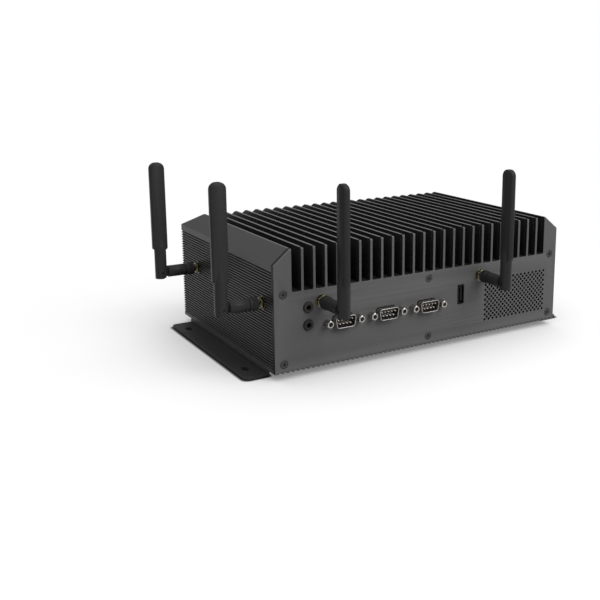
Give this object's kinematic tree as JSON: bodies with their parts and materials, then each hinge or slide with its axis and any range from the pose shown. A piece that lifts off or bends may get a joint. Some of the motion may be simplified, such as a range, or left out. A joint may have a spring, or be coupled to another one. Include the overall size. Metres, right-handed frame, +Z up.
{
  "type": "edge AI computer",
  "caption": "Fanless edge AI computer with a finned aluminium cover, nine-pin ports, perforated front vent, hinged swivelling antennas and slotted mounting brackets.",
  "frame": {"origin": "On the table under the middle of the whole outline, antennas and bracket feet included.", "axes": "+X to the right along the front, +Y from the front panel to the rear, +Z up."},
  "size_m": [0.3026, 0.2056, 0.1362],
  "materials": {
    "anodised_body": "black anodised extruded aluminium",
    "anodised_panel": "dark grey anodised aluminium plate, fine matt",
    "coated_steel": "black powder-coated sheet steel",
    "black_screws": "black oxide screws",
    "nickel": "nickel-plated steel and brass",
    "gold": "gold-plated brass",
    "antenna_plastic": "black moulded plastic, satin",
    "dark_pin": "blackened steel",
    "black_moulding": "black moulded plastic",
    "grey_moulding": "grey ribbon insulation",
    "green_moulding": "green moulded plastic",
    "clear_plastic": "clear moulded plastic",
    "circuit_board": "green solder mask on glass-fibre board",
    "pad": "silicone gap filler",
    "plain_aluminium": "milled aluminium"
  },
  "bodies": {
    "root": {"heatsink_cover": "anodised_body", "bottom_cover": "anodised_body", "front_panel": "anodised_panel", "rear_panel": "anodised_panel", "left_bracket": "coated_steel", "right_bracket": "coated_steel", "bracket_screws": "black_screws", "front_panel_screws": "black_screws", "rear_panel_screws": "black_screws", "com_port_shells": "nickel", "com_port_inserts": "black_moulding", "com_port_pins": "nickel", "com_port_jackscrews": "nickel", "hdmi_shell": "dark_pin", "hdmi_tongue": "black_moulding", "audio_jacks": "black_moulding", "antenna_sockets": "gold", "antenna_washers": "gold", "antenna_nuts": "gold", "antenna_couplings": "antenna_plastic", "network_jacks": "nickel", "usb_shells": "nickel", "usb_tongues": "black_moulding", "supply_terminal": "green_moulding", "light_pipes": "clear_plastic", "power_button_bezel": "nickel", "power_switch": "black_moulding", "mainboard": "circuit_board", "board_standoffs": "gold", "board_screws": "nickel", "port_board": "circuit_board", "port_board_link": "grey_moulding", "compute_module": "circuit_board", "module_socket": "black_moulding", "module_chip": "nickel", "thermal_pad": "pad", "heat_spreader": "plain_aluminium", "spreader_screws": "nickel", "drive_card": "circuit_board", "radio_card": "circuit_board", "card_sockets": "black_moulding", "card_posts": "gold", "coin_cell": "nickel", "cell_holder": "black_moulding", "aerial_leads": "black_moulding"},
    "antenna_1_swivel": {"antenna_1_sleeve": "antenna_plastic"},
    "antenna_1_blade": {"antenna_1_whip": "antenna_plastic", "antenna_1_hinge_pin": "dark_pin"},
    "antenna_2_swivel": {"antenna_2_sleeve": "antenna_plastic"},
    "antenna_2_blade": {"antenna_2_whip": "antenna_plastic", "antenna_2_hinge_pin": "dark_pin"},
    "antenna_3_swivel": {"antenna_3_sleeve": "antenna_plastic"},
    "antenna_3_blade": {"antenna_3_whip": "antenna_plastic", "antenna_3_hinge_pin": "dark_pin"},
    "antenna_4_swivel": {"antenna_4_sleeve": "antenna_plastic"},
    "antenna_4_blade": {"antenna_4_whip": "antenna_plastic", "antenna_4_hinge_pin": "dark_pin"},
    "button": {"power_button": "nickel"}
  },
  "joints": [
    {"name": "antenna_1_turn", "type": "hinge", "parent": "root", "child": "antenna_1_swivel", "pos_m": [-0.12618, 0.06782, 0.052], "axis": [-1, 0, 0], "range_deg": [-90, 90]},
    {"name": "antenna_1_tilt", "type": "hinge", "parent": "antenna_1_swivel", "child": "antenna_1_blade", "pos_m": [-0.14567, 0.06782, 0.052], "axis": [0, -1, 0], "range_deg": [0, 90]},
    {"name": "antenna_2_turn", "type": "hinge", "parent": "root", "child": "antenna_2_swivel", "pos_m": [-0.12618, -0.05017, 0.052], "axis": [-1, 0, 0], "range_deg": [-90, 90]},
    {"name": "antenna_2_tilt", "type": "hinge", "parent": "antenna_2_swivel", "child": "antenna_2_blade", "pos_m": [-0.14567, -0.05017, 0.052], "axis": [0, -1, 0], "range_deg": [0, 90]},
    {"name": "antenna_3_turn", "type": "hinge", "parent": "root", "child": "antenna_3_swivel", "pos_m": [-0.07967, -0.07767, 0.052], "axis": [0, -1, 0], "range_deg": [-90, 90]},
    {"name": "antenna_3_tilt", "type": "hinge", "parent": "antenna_3_swivel", "child": "antenna_3_blade", "pos_m": [-0.07967, -0.09717, 0.052], "axis": [1, 0, 0], "range_deg": [0, 90]},
    {"name": "antenna_4_turn", "type": "hinge", "parent": "root", "child": "antenna_4_swivel", "pos_m": [0.05783, -0.07767, 0.052], "axis": [0, -1, 0], "range_deg": [-90, 90]},
    {"name": "antenna_4_tilt", "type": "hinge", "parent": "antenna_4_swivel", "child": "antenna_4_blade", "pos_m": [0.05783, -0.09717, 0.052], "axis": [1, 0, 0], "range_deg": [0, 90]},
    {"name": "power_button_press", "type": "slide", "parent": "root", "child": "button", "axis": [0, -1, 0], "range_m": [0, 0.001], "stiffness_N_per_m": 800}
  ]
}
